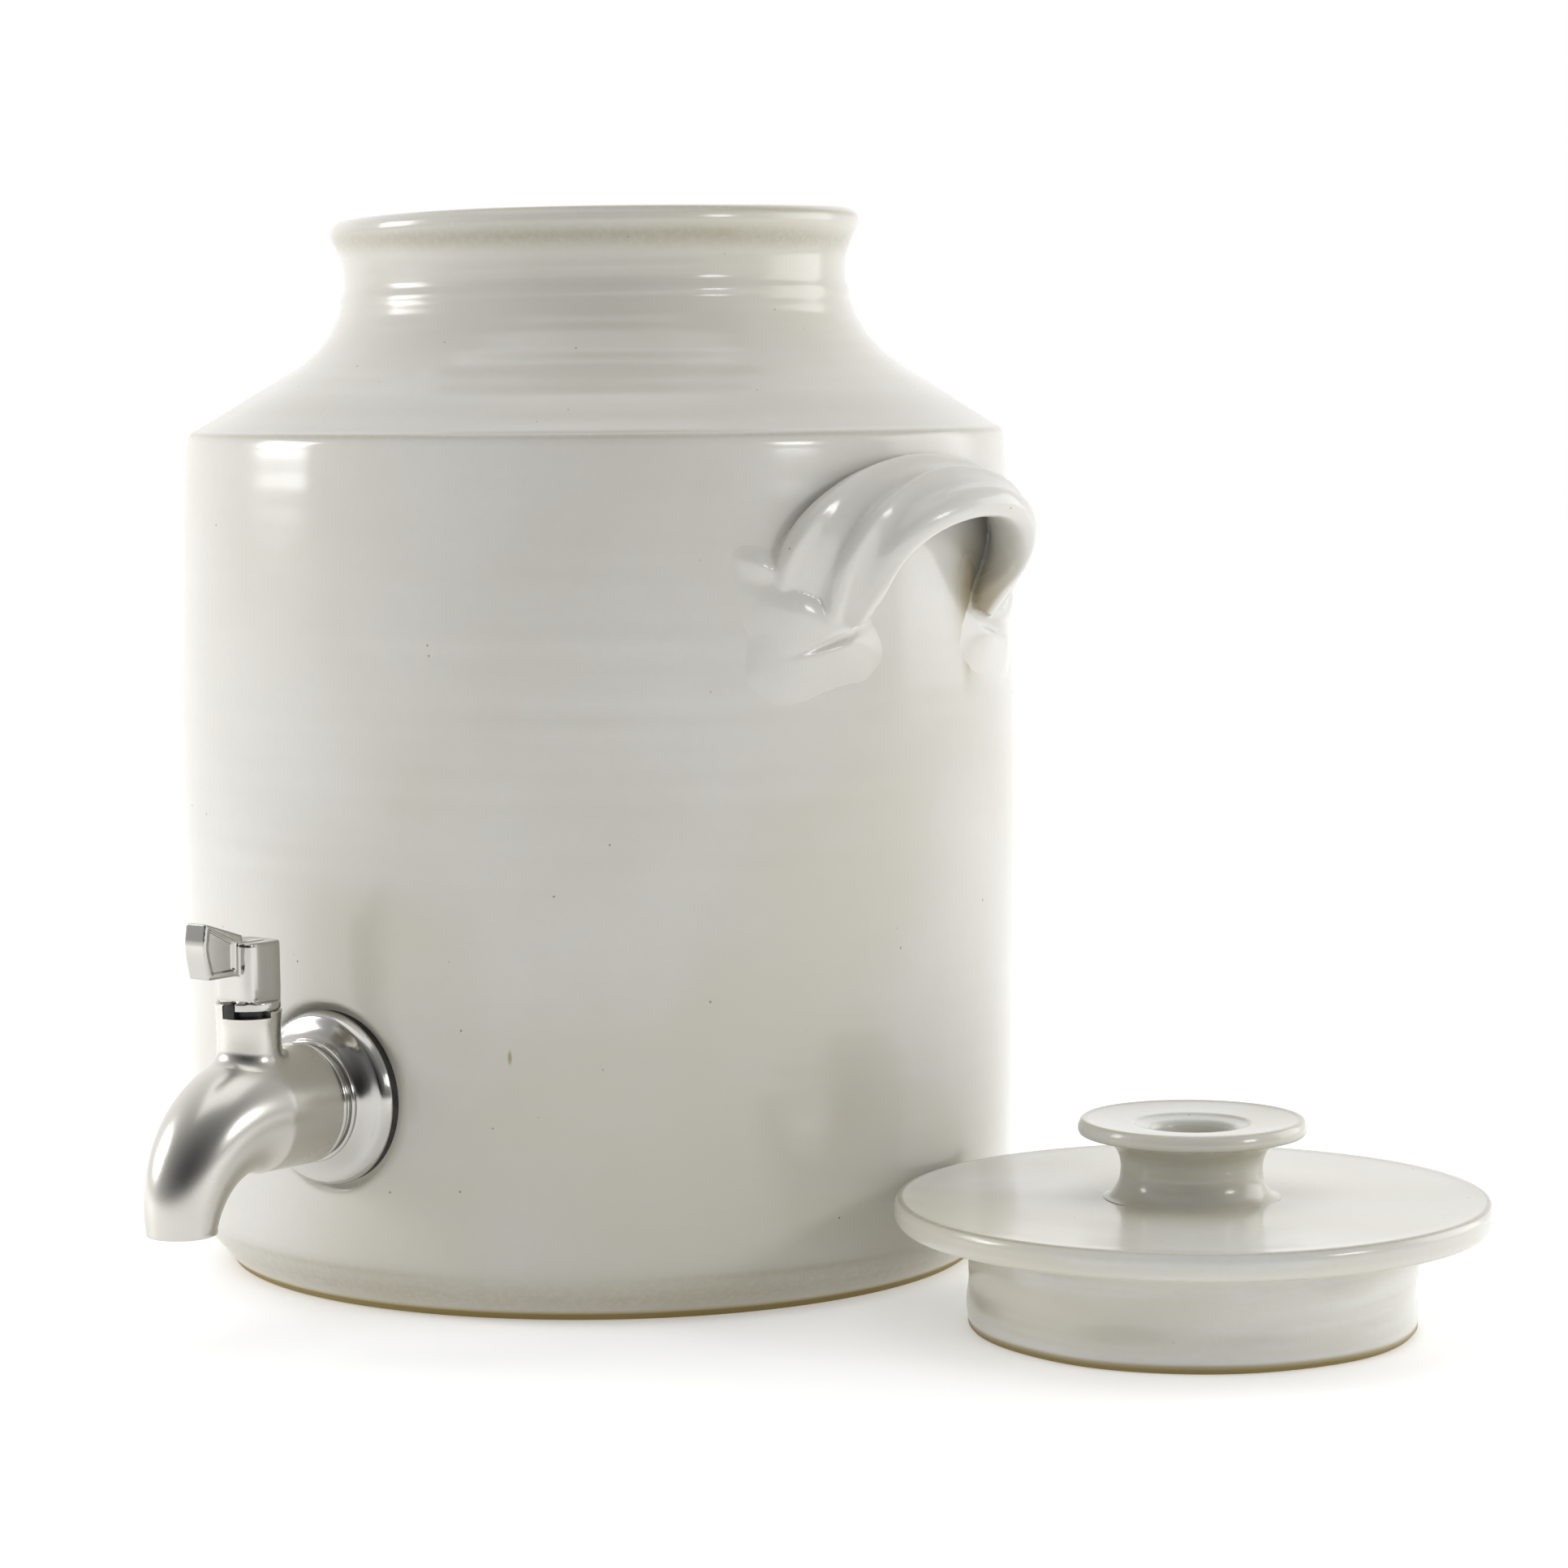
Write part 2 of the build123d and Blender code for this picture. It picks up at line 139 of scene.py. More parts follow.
def capped(rows):
    """The rows with a point at the middle of each end, which closes both ends."""
    return [rows[0].mean(axis=0)[None]] + rows + [rows[-1].mean(axis=0)[None]]


def on_tap(verts):
    """From the spigot's own frame, with its z outwards, to the part's frame."""
    return np.stack([verts[:, 0], -verts[:, 2], TAP_Z + verts[:, 1]], axis=1)


def on_valve(verts):
    """From the valve's axis to the part's frame."""
    return verts + [0, -VALVE_Y, 0]


def joined(*shells):
    """Several shells as one."""
    verts, faces, base = [], [], 0
    for v, f in shells:
        verts.append(v)
        faces += [tuple(i + base for i in face) for face in f]
        base += len(v)
    return np.vstack(verts), faces


def make_mesh(name, shell, attributes=()):
    """A smooth mesh of a shell, with its normals outwards and a number at each point by name."""
    verts, faces = shell
    mesh = bpy.data.meshes.new(name)
    mesh.from_pydata((verts * MM).tolist(), [], faces)
    for key, values in dict(attributes).items():
        layer = mesh.attributes.new(key, "FLOAT", "POINT")
        layer.data.foreach_set("value", np.asarray(values, np.float32))
    bm = bmesh.new()
    bm.from_mesh(mesh)
    bmesh.ops.recalc_face_normals(bm, faces=bm.faces)
    bm.to_mesh(mesh)
    bm.free()
    mesh.shade_smooth()
    return mesh


def remeshed(name, shell, voxel, rounds):
    """The union of closed shells as one skin, with its creases softened."""
    rough = bpy.data.objects.new(name + "_rough", make_mesh(name + "_rough", shell))
    bpy.context.scene.collection.objects.link(rough)
    remesh = rough.modifiers.new("union", "REMESH")
    remesh.mode = "VOXEL"
    remesh.voxel_size = voxel * MM
    soften = rough.modifiers.new("soften", "SMOOTH")
    soften.factor = 0.5
    soften.iterations = rounds
    depsgraph = bpy.context.evaluated_depsgraph_get()
    mesh = bpy.data.meshes.new_from_object(rough.evaluated_get(depsgraph))
    bpy.data.objects.remove(rough)
    mesh.name = name
    mesh.shade_smooth()
    return mesh


def piece(name, mesh, finish, body, *nodes, sharp=None):
    """A visible piece in one finish, which stands in for the CAD nodes named and rides on a body."""
    obj = bpy.data.objects.new(name, mesh)
    bpy.context.scene.collection.objects.link(obj)
    mesh.materials.clear()
    mesh.materials.append(MATERIALS[finish])
    if sharp:
        mesh.set_sharp_from_angle(angle=radians(sharp))
    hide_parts(*nodes)
    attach(obj, body)


# ---------------------------------------------------------------- materials
class Tree:
    """A material whose nodes read Object coordinates and the mesh's own attributes."""

    def __init__(self, name):
        self.material = bpy.data.materials.new(name)
        self.material.use_nodes = True
        self.tree = self.material.node_tree
        self.tree.nodes.clear()
        self.out = self.add("OutputMaterial")
        self.main = self.add("BsdfPrincipled")
        self.tree.links.new(self.main.outputs[0], self.out.inputs[0])
        self.place = self.add("TexCoord").outputs["Object"]

    def add(self, kind, inputs=(), **settings):
        made = self.tree.nodes.new("ShaderNode" + kind)
        for key, value in settings.items():
            setattr(made, key, value)
        self.set(made, inputs)
        return made

    def set(self, made, inputs):
        for key, value in dict(inputs).items():
            if isinstance(value, bpy.types.NodeSocket):
                self.tree.links.new(value, made.inputs[key])
            else:
                made.inputs[key].default_value = value

    def noise(self, scale, detail=3.0, roughness=0.55, stretch=None):
        where = self.place
        if stretch:
            where = self.add("Mapping", {"Vector": where, "Scale": stretch}).outputs[0]
        made = self.add(
            "TexNoise", {"Vector": where, "Scale": scale, "Detail": detail, "Roughness": roughness}
        )
        return made.outputs[0]

    def ramp(self, value, low, high, to_low=0.0, to_high=1.0):
        made = self.add(
            "MapRange",
            {"Value": value, "From Min": low, "From Max": high, "To Min": to_low, "To Max": to_high},
            interpolation_type="SMOOTHSTEP",
        )
        return made.outputs[0]

    def math(self, how, a, b):
        return self.add("Math", {0: a, 1: b}, operation=how, use_clamp=False).outputs[0]

    def mix(self, factor, a, b):
        made = self.add("Mix", data_type="RGBA")
        self.set(made, {0: factor, 6: a, 7: b})
        return made.outputs[2]

    def attribute(self, name):
        return self.add("Attribute", attribute_name=name).outputs["Fac"]

    def bumped(self, *layers):
        normal = None
        for height, distance in layers:
            inputs = {"Height": height, "Distance": distance * MM, "Strength": 1.0}
            if normal:
                inputs["Normal"] = normal
            normal = self.add("Bump", inputs).outputs[0]
        self.set(self.main, {"Normal": normal})


def rgb(r, g, b):
    """A colour given as it looks on screen, out of 255."""
    return tuple(((c / 255 + 0.055) / 1.055) ** 2.4 for c in (r, g, b)) + (1.0,)


IVORY = rgb(214, 213, 209)
CREAM = rgb(204, 200, 186)
IVORY_STREAK = rgb(203, 202, 197)
LID_IVORY = rgb(219, 218, 212)
LID_CREAM = rgb(209, 205, 190)
LID_STREAK = rgb(226, 229, 230)
GRAIN = rgb(205, 198, 184)
PINHOLE = rgb(122, 98, 70)
# Colours of thin glaze and of bare clay, also used for painted shade inside the handles.
THIN_GLAZE_AND_SHADE = rgb(152, 144, 117)
BARE_CLAY_AND_SHADE = rgb(142, 123, 66)
YELLOW_SPOT = rgb(150, 138, 74)
SPOT_PLACE = (0.0566, -0.1135, 0.077)
SPOT_SQUASH = 0.3


def glaze(name, pale, warm, streaks, streak_colour, spot=None):
    """Glaze with warm clouds, level streaks, pinholes, thin edges and bare clay where it stops, whose
    thin and clay colours also paint shade inside the handles.
    """
    t = Tree(name)
    clouds = t.ramp(t.noise(7.5, 4.0), 0.25, 0.75)
    colour = t.mix(clouds, pale, warm)
    bands = t.ramp(t.noise(26.0, 3.0, 0.5, (0.5, 0.5, 6.0)), 0.4, 0.75, 0.0, streaks)
    colour = t.mix(bands, colour, streak_colour)
    grain = t.ramp(t.noise(420.0, 2.0), 0.35, 0.7, 0.0, 0.1)
    colour = t.mix(grain, colour, GRAIN)
    specks = t.add("TexVoronoi", {"Vector": t.place, "Scale": 170.0})
    near = t.ramp(specks.outputs["Distance"], 0.035, 0.085, 1.0, 0.0)
    rare = t.ramp(t.noise(60.0, 1.0), 0.6, 0.66)
    pinholes = t.math("MULTIPLY", t.math("MULTIPLY", near, rare), 0.75)
    colour = t.mix(pinholes, colour, PINHOLE)
    rough = t.ramp(t.noise(22.0, 2.0), 0.2, 0.8, 0.13, 0.24)
    # The thin and clay attributes also carry painted shade inside the handles.
    broken_and_shaded = t.math("MULTIPLY", t.attribute("thin"), t.ramp(t.noise(520.0, 3.0), 0.3, 0.62, 0.8, 1.0))
    colour = t.mix(broken_and_shaded, colour, THIN_GLAZE_AND_SHADE)
    clay = t.attribute("clay")
    colour = t.mix(clay, colour, BARE_CLAY_AND_SHADE)
    rough = t.math("ADD", rough, t.math("MULTIPLY", clay, 0.5))
    if spot:
        squashed = t.add("Mapping", {"Vector": t.place, "Scale": (1, 1, SPOT_SQUASH)}).outputs[0]
        middle = (spot[0], spot[1], SPOT_SQUASH * spot[2])
        away = t.add("VectorMath", {0: squashed, 1: middle}, operation="DISTANCE").outputs["Value"]
        colour = t.mix(t.ramp(away, 0.0003, 0.0009, 0.8, 0.0), colour, YELLOW_SPOT)
    t.set(t.main, {"Base Color": colour, "Roughness": rough, "IOR": 1.56, "Specular IOR Level": 0.5})
    t.bumped(
        (t.noise(18.0, 1.0, 0.5, (0.6, 0.6, 4.0)), 0.1),
        (t.noise(240.0, 2.0), 0.014),
    )
    return t.material


def metal(name, colour, low, high):
    """Steel whose roughness wanders between low and high."""
    t = Tree(name)
    rough = t.ramp(t.noise(45.0, 2.0), 0.1, 0.9, low, high)
    t.set(t.main, {"Base Color": colour, "Metallic": 1.0, "Roughness": rough})
    return t.material


def dull(name, colour, worn, roughness, grain, distance):
    """Rubber or plastic with a fine grain that is distance deep."""
    t = Tree(name)
    texture = t.noise(grain, 3.0)
    t.set(
        t.main,
        {"Base Color": t.mix(t.ramp(texture, 0.4, 0.7), colour, worn), "Roughness": roughness},
    )
    t.bumped((texture, distance))
    return t.material


MATERIALS = {
    "crock_glaze": glaze("crock_glaze", IVORY, CREAM, 0.1, IVORY_STREAK, SPOT_PLACE),
    "handle_glaze": glaze("handle_glaze", IVORY, CREAM, 0.1, IVORY_STREAK),
    "lid_glaze": glaze("lid_glaze", LID_IVORY, LID_CREAM, 0.6, LID_STREAK),
    "satin_steel": metal("satin_steel", rgb(206, 203, 196), 0.25, 0.31),
    "polished_steel": metal("polished_steel", rgb(188, 186, 181), 0.13, 0.19),
    "turned_steel": metal("turned_steel", rgb(190, 188, 184), 0.2, 0.35),
    "gasket_rubber": dull("gasket_rubber", rgb(38, 37, 36), rgb(52, 50, 48), 0.55, 300.0, 0.02),
    "valve_plastic": dull("valve_plastic", rgb(22, 22, 23), rgb(34, 34, 35), 0.35, 400.0, 0.01),
}


# ---------------------------------------------------------------- crock
WALL_LINE = [(126.9, 95), (127, 108), (126.8, 155), (125.9, 199.8), (124.4, 232), (123.5, 245)]
FLAT_RADIUS = 24.8
FLAT_BEHIND_BEZEL = 2.5
TILT_WAY = (0.809, 0.588)
# Closer together in front, round the flat that is ground for the bezel.
CROCK_ANGLES = np.r_[np.arange(-12.5, 12.51, 0.5), np.arange(14.5, 346.6, 2.0)]


def wall_wobble(a, z):
    """How far the wall is out of round at an angle and a height."""
    return 0.26 * np.cos(2 * a + 0.6) + 0.16 * np.cos(3 * a + z / 90.0) + 0.1 * np.cos(5 * a - z / 60.0)


def throwing_marks(a, z):
    """Fine rings up the wall and neck, and a bead, a groove and a swelling on the neck."""
    rings = 0.02 * np.sin(z / 8.0 * 2 * pi + a) + 0.02 * np.sin(z / 13.0 * 2 * pi + a + 1.7)
    neck = 0.11 * np.sin(z / 5.1 * 2 * pi + a) * ease(z, 256, 264) * (1 - ease(z, 288, 294))
    neck += 0.55 * bump(z, 290.2, 1.5) - 0.3 * bump(z, 293.8, 1.6) + 0.25 * bump(z, 253.5, 2.2)
    return rings * ease(z, 14, 26) + neck


def crock_outline():
    """Half a section, out from the middle of the foot, up the outside and down the inside."""
    neck = [(120.0, 251.0), (112.5, 255.6), (104.5, 260.8), (95.0, 266.6), (86.5, 272.7)]
    neck += [(80.2, 280.2), (76.6, 288.6), (75.6, 296.3)]
    lip = [(79.6, 310.2), (79.3, 312.3), (77.6, 313.9), (74.6, 314.5), (70.5, 314.2)]
    lip += [(67.3, 312.4), (65.6, 309.6), (65, 306.5)]
    inside = [(65, 285.7), (66.8, 280), (76, 268), (94, 251.5), (109, 241.8), (114.6, 235.5)]
    inside += [(116.4, 225), (116.9, 199.8), (118, 108), (116, 33), (113.8, 20), (107, 12.2)]
    inside += [(96, 10), (40, 10), (0, 10)]
    return profile(
        ([(0, 0), (60, 0), (112.6, 0)], 12),
        ([(112.6, 0), (113.8, 0.3), (114.3, 1.2)], 0.5),
        ([(114.3, 1.2), (117.3, 4.8), (120.6, 8.8)], 0.9),
        ([(120.6, 8.8), (121.6, 10.3), (122.3, 12.0), (122.9, 14.5)], 0.7),
        ([(122.9, 14.5), (123.9, 21.5), (124.8, 30)], 2.0),
        ([(124.8, 30), (126.2, 62), (126.9, 95)], 0.95),
        (WALL_LINE, 2.3),
        ([(123.5, 245), (123.1, 248), (122.2, 249.8), (120.0, 251.0)], 0.5),
        (neck, 0.85),
        ([(75.6, 296.3), (75.9, 300.5), (77.2, 304.8), (79.0, 308.4), (79.6, 310.2)], 0.5),
        (lip, 0.65),
        ([(65, 306.5), (65, 285.7)], 2),
        (inside, 6),
    )


def handle_opening_shade(a, z):
    """Painted shade, in yellowed glaze colours, on the wall inside the opening of each handle, beside
    one root.
    """
    opening_shade = 0 * z
    for angle in HANDLES.values():
        off = (np.degrees(a) - angle + 180) % 360 - 180
        opening_shade += bump(off, 11.5, 3.8) * bump(z, 202.0, 14.0)
        opening_shade += bump(off, 10.9, 1.1) * bump(z, 186.0, 8.0)
    return np.minimum(opening_shade, 1)


def crock_finish(r, a, z, from_tap, outer, front):
    """Where the glaze is thin, where the clay shows, and painted shade inside the handles, each from 0
    to 1.
    """
    arc = 0.5 + 0.5 * np.sin(5 * a + 2.0)
    thin = 0.6 * bump(z, 313.9, 0.8) * (r > 74) + 0.6 * bump(z, 306.0, 3.4) * outer
    thin += 0.4 * bump(z, 249.6, 0.8) * outer + 0.1 * bump(z, 256.5, 3.0) * outer
    thin += (0.6 * bump(z, 7.5, 5.5) + 0.25 * bump(z, 13.0, 1.2) * arc) * outer
    thin += 0.35 * bump(from_tap, FLAT_RADIUS + 1.8, 1.2) * front * outer
    # Painted shade inside the handles' openings, laid into the thin-glaze and clay colours.
    opening_shade = handle_opening_shade(a, z) * outer
    thin += 0.7 * opening_shade
    clay = np.maximum((1 - ease(z, 1.9, 3.1)) * outer, 0.55 * opening_shade)
    return {"thin": np.clip(thin, 0, 1), "clay": clay}


def crock_mesh():
    """The thrown body, slightly uneven, with a flat in front for the bezel."""
    outline = crock_outline()
    verts, faces = turned(outline, CROCK_ANGLES)
    x, y, z = verts.T
    r = np.hypot(x, y)
    a = np.arctan2(x, -y)
    sizes = [1 if radius < 1e-6 else len(CROCK_ANGLES) for radius in outline[:, 0]]
    rank = np.repeat(np.arange(len(outline)), sizes)
    outer = rank <= np.argmax(outline[:, 1])
    front = y < 0

    push = throwing_marks(a, z) * (outer & (z > 12)) + wall_wobble(a, z) * ease(z, 4, 30)
    push *= 1 - 0.85 * bump(np.hypot(x, z - TAP_Z), 0, 34.0) * front
    scale = 1 + push / np.maximum(r, 20)
    x, y = x * scale, y * scale

    from_tap = np.hypot(x, z - TAP_Z)
    flat = (1 - ease(from_tap, FLAT_RADIUS, FLAT_RADIUS + 3.2)) * (outer & front & (z > 20))
    y = y * (1 - flat) - (BEZEL_BACK - FLAT_BEHIND_BEZEL) * flat
    tilt = 0.02 * (x * TILT_WAY[0] + y * TILT_WAY[1])
    z = z + tilt * ease(z, 240, 300) + 0.25 * np.sin(3 * a + 1.0) * ease(z, 300, 312)
    shell = np.stack([x, y, z], axis=1), faces
    return make_mesh("crock_body", shell, crock_finish(r, a, z, from_tap, outer, front))


piece("crock_shell", crock_mesh(), "crock_glaze", "crock", "crock_body")


# ---------------------------------------------------------------- handles
STRAP_HALF = 5.2
HANDLE_VOXEL = 0.65


def strap_edge(turn, half, bulge, reach, root_height, rise):
    """One edge of the strap, an arch over turns from one root at -90 degrees to the other at 90."""
    wall = sqrt(WALL_R**2 - half**2)
    across = half * np.sin(turn) + bulge * np.sin(2 * turn)
    out = wall + (reach - wall) * np.cos(turn)
    return np.stack([across, -out, root_height + rise * np.cos(turn)], axis=-1)


def strap_relief(share, step):
    """Lip, cove, step and ridges across the strap, whose back edge is at -1 and front edge at 1."""
    relief = 1.3 * bump(share, -0.85, 0.09)
    relief -= 1.5 * ease(share, -0.78, -0.55) * (1 - ease(share, step - 0.06, step + 0.06))
    relief -= 1.7 * ease(share, -0.7, step) * (1 - ease(share, step - 0.04, step + 0.06))
    relief += 1.5 * bump(share, step + 0.16, 0.13) - 0.9 * bump(share, 0.45, 0.16)
    return relief + 0.9 * bump(share, 0.76, 0.17)


def strap_shell():
    """The strap, which runs on past both roots into the wall."""
    turns = np.linspace(-1.12, 1.12, 81) * pi / 2
    back = strap_edge(turns, 54.0, 0.0, 122.0, 213.0, 27.5)
    front = strap_edge(turns, 24.3, 7.0, 151.0, 194.0, 34.0)
    middle = (back + front) / 2
    along = np.gradient(middle, axis=0)
    along /= np.linalg.norm(along, axis=1, keepdims=True)
    width = front - back
    width -= along * np.sum(width * along, axis=1, keepdims=True)
    half = np.linalg.norm(width, axis=1, keepdims=True) / 2
    width /= 2 * half
    up = np.cross(width, along)
    beta = np.linspace(0, 2 * pi, 132, endpoint=False)
    c, s = np.cos(beta), np.sin(beta)
    share = np.sign(c) * np.abs(c) ** 0.85
    height = np.sign(s) * np.abs(s) ** 0.7 * STRAP_HALF
    crown = np.clip(s, 0, 1) ** 0.5
    rows = []
    for i, turn in enumerate(turns):
        fade = 1 - 0.3 * abs(turn) / (pi / 2)
        relief = strap_relief(share, -0.16 + 0.1 * abs(turn))
        h = height + crown * relief * fade
        rows.append(middle[i] + width[i] * (share * half[i])[:, None] + up[i] * h[:, None])
    return skin(capped(rows))


def lump(arc, z, at_arc, at_z, wide, tall, lean=0.0):
    """A soft lump on the wall, leaning by some degrees."""
    c, s = cos(radians(lean)), sin(radians(lean))
    u = ((arc - at_arc) * c + (z - at_z) * s) / wide
    v = ((z - at_z) * c - (arc - at_arc) * s) / tall
    return np.exp(-(u * u + v * v))


def smear_rise(arc, z):
    """How far the smeared clay stands off the wall, with two thumb marks pressed into it."""
    rise = -0.45 + 4.4 * lump(arc, z, -42, 198, 17, 8.5, -33) + 1.6 * lump(arc, z, -52, 196, 9, 15, -8)
    rise += 1.1 * lump(arc, z, -47, 184, 13, 9, 8) + 2.2 * lump(arc, z, -60, 213.5, 5.5, 2.8, -28)
    rise -= 1.4 * lump(arc, z, -38, 203.5, 3, 3.5) + 2.2 * lump(arc, z, -38, 191.5, 9, 1.3, 14)
    return np.maximum(rise, -1.5)


def smear_shell(side, turn):
    """Clay pressed on to the wall at one root of the handle, feathered out to nothing."""
    arc, z = np.meshgrid(np.arange(-76, -11.9, 0.8), np.arange(168, 226.1, 0.8))
    line = smooth_line(WALL_LINE, 2.3)
    angle = side * -arc / WALL_R
    wall = np.interp(z, line[:, 1], line[:, 0]) + wall_wobble(angle + radians(turn), z)
    layers = []
    for out in (wall + smear_rise(arc, z), wall - 4):
        layers.append(np.stack([out * np.sin(angle), -out * np.cos(angle), z], axis=-1))
    m, n = arc.shape
    verts = np.concatenate([layer.reshape(-1, 3) for layer in layers])
    faces = []
    for i in range(m - 1):
        for j in range(n - 1):
            k = i * n + j
            faces.append((k, k + 1, k + n + 1, k + n))
            k += m * n
            faces.append((k, k + n, k + n + 1, k + 1))
    edge = list(range(n)) + [i * n + n - 1 for i in range(1, m)]
    edge += [(m - 1) * n + j for j in range(n - 2, -1, -1)] + [i * n for i in range(m - 2, 0, -1)]
    for k, other in zip(edge, edge[1:] + edge[:1]):
        faces.append((k, k + m * n, other + m * n, other))
    return verts, faces


def handle_mesh(name, angle):
    """The strap and both smears as one lumpy skin, with painted shade on the inner face of one root."""
    shells = [strap_shell(), smear_shell(-1, angle), smear_shell(1, angle)]
    mesh = remeshed(name, joined(*shells), HANDLE_VOXEL, 4)
    count = len(mesh.vertices)
    places, normals = np.empty(count * 3), np.empty(count * 3)
    mesh.vertices.foreach_get("co", places)
    mesh.vertices.foreach_get("normal", normals)
    places = places.reshape(-1, 3) / MM
    lumps = [
        noise.noise(Vector(p / 14.0)) * 0.22 + noise.noise(Vector(p / 5.0)) * 0.05 for p in places
    ]
    places += normals.reshape(-1, 3) * np.array(lumps)[:, None]
    mesh.vertices.foreach_set("co", (places * MM).ravel())
    x, y, z = places.T
    # Painted shade on the strap's inner face, inside the opening, drawn in the bare clay colour.
    inward = ease(-normals[0::3], 0.0, 0.6) * bump(x, 22, 10) * ease(y, -146, -134)
    opening_shade = mesh.attributes.new("clay", "FLOAT", "POINT")
    opening_shade.data.foreach_set("value", 0.85 * inward * bump(z, 194, 16))
    mesh.update()
    mesh.transform(Matrix.Rotation(radians(angle), 4, "Z"))
    return mesh


for name, angle in HANDLES.items():
    piece(name + "_strap", handle_mesh(name, angle), "handle_glaze", "crock", name)


# ---------------------------------------------------------------- lid
def lid_plate_mesh():
    """The flange with its crown and hollow skirt, slightly out of round and warped."""
    flange_edge = [(80.4, 28.6), (82.2, 29.2), (83.2, 30.8), (83.5, 32.8), (83.3, 35.0), (82.5, 36.4)]
    outline = profile(
        ([(0, 29), (55.4, 29)], 14),
        ([(55.4, 29), (55.8, 1.2), (56.8, 0)], 1.6),
        ([(56.8, 0), (61.8, 0), (62.8, 1.0)], 1.0),
        ([(62.8, 1.0), (63.1, 6.0), (62.6, 13.0), (63.0, 19.0), (62.8, 25.5)], 1.0),
        ([(62.8, 25.5), (63.6, 27.6), (65.9, 28.6), (70, 28.7)], 0.8),
        ([(70, 28.7), (80.4, 28.6)], 3),
        (flange_edge, 0.5),
        ([(82.5, 36.4), (81.4, 36.6), (79.5, 36.4)], 0.5),
        ([(79.5, 36.4), (60, 36.3), (40, 36.6), (26, 36.6), (0, 36.6)], 4),
    )
    verts, faces = turned(outline, np.arange(0, 360, 2.0))
    x, y, z = verts.T
    r = np.hypot(x, y)
    a = np.arctan2(x, -y)
    skirt = bump(r, 62.8, 2.5) * (z < 28)
    push = skirt * (0.25 * np.sin(5 * a + z / 6.0) + 0.2 * np.sin(9 * a - z / 4.0 + 1.0))
    push += 0.18 * np.sin(3 * a + 0.5) * (r > 60)
    scale = 1 + push / np.maximum(r, 20)
    warp = (0.15 * np.sin(2 * a) + 0.1 * np.sin(5 * a + 1)) * ease(z, 28, 31)
    thin = 0.6 * bump(z, 36.5, 0.3) * (r > 81.5) + 0.4 * bump(z, 29.1, 0.5) * (r > 80)
    clay = (1 - ease(z, 1.6, 2.6)) * (r > 55)
    shell = np.stack([x * scale + LID_X, y * scale, z + warp], axis=1), faces
    return make_mesh("lid_plate", shell, {"thin": thin, "clay": clay})


def lid_knob_mesh():
    """The knob, with its foot, waisted neck, dished top and blind hole."""
    neck = [(21.9, 38.2), (20.6, 40.4), (19.9, 43.6), (20.1, 47.0), (21.4, 50.2), (25.4, 52.6)]
    neck += [(31.0, 54.2)]
    outline = profile(
        ([(0, 36.2), (22.6, 36.2)], 6),
        ([(22.6, 36.2), (24.9, 36.5), (23.2, 37.1), (21.9, 38.2)], 0.4),
        (neck, 0.8),
        ([(31.0, 54.0), (31.8, 54.8), (32.0, 55.9), (31.7, 57.3), (31.2, 58.3)], 0.4),
        ([(31.2, 58.3), (30.5, 58.6), (29.4, 58.3), (24, 57.6), (16.4, 57.2)], 0.6),
        ([(16.4, 57.2), (15.6, 56.6), (14.2, 56.2), (12.4, 55.6), (11.5, 54.2)], 0.4),
        ([(11.5, 54.2), (11.4, 49.5), (10.0, 47.6), (0, 47.5)], 1.2),
    )
    verts, faces = turned(outline, FULL_TURN)
    x, y, z = verts.T
    r = np.hypot(x, y)
    a = np.arctan2(x, -y)
    scale = 1 + 0.15 * np.sin(3 * a + z / 9.0) / np.maximum(r, 12)
    thin = 0.4 * bump(z, 58.5, 0.35) * (r > 29) + 0.5 * bump(z, 53.9, 0.7) * (r > 28)
    thin += 0.3 * ease(z, 44, 50) * (1 - ease(z, 52, 54)) * (r > 18)
    shell = np.stack([x * scale + LID_X, y * scale, z], axis=1), faces
    return make_mesh("lid_knob", shell, {"thin": np.clip(thin, 0, 1), "clay": 0 * z})


piece("lid_disc", lid_plate_mesh(), "lid_glaze", "lid", "lid_plate")
piece("lid_grip", lid_knob_mesh(), "lid_glaze", "lid", "lid_knob")


# ---------------------------------------------------------------- spigot
def turned_on_tap(name, outline):
    """A part turned about the spigot's axis from a closed outline of radius and distance outwards."""
    verts, faces = turned(outline, FULL_TURN, closed=True)
    return make_mesh(name, (on_tap(verts), faces))


def bezel_mesh():
    """The bell-shaped plate against the wall."""
    outline = profile(
        ([(SHANK_BORE, BEZEL_BACK), (24.6, BEZEL_BACK)], 4),
        ([(24.6, BEZEL_BACK), (25.0, 126.9), (24.8, 127.8)], 0.3),
        ([(24.8, 127.8), (24.0, 129.4), (23.5, 130.0), (22.8, 130.3)], 0.3),
        ([(22.8, 130.3), (20.8, 131.0), (18.9, 132.1), (17.7, 133.1), (17.0, 133.5)], 0.4),
        ([(17.0, 133.5), (SHANK_BORE, BEZEL_FRONT)], 4),
    )
    return turned_on_tap("escutcheon", outline)


def collar_mesh():
    """Two beads with a groove between them."""
    outline = profile(
        ([(SHANK_BORE, BEZEL_FRONT), (16.6, BEZEL_FRONT)], 4),
        ([(16.6, BEZEL_FRONT), (17.3, 133.7), (17.5, 134.3), (17.2, 134.9), (16.6, 135.1)], 0.2),
        ([(16.6, 135.1), (16.0, 135.3), (15.9, 135.9), (16.2, 136.4)], 0.2),
        ([(16.2, 136.4), (16.9, 136.6), (17.1, 137.2), (16.9, 137.9), (16.5, 138.2)], 0.2),
        ([(16.5, 138.2), (SHANK_BORE, COLLAR_FRONT)], 4),
    )
    return turned_on_tap("spigot_collar", outline)


BEND = 28.1
BARREL_R = 17.1
OUTLET_R = 9.85


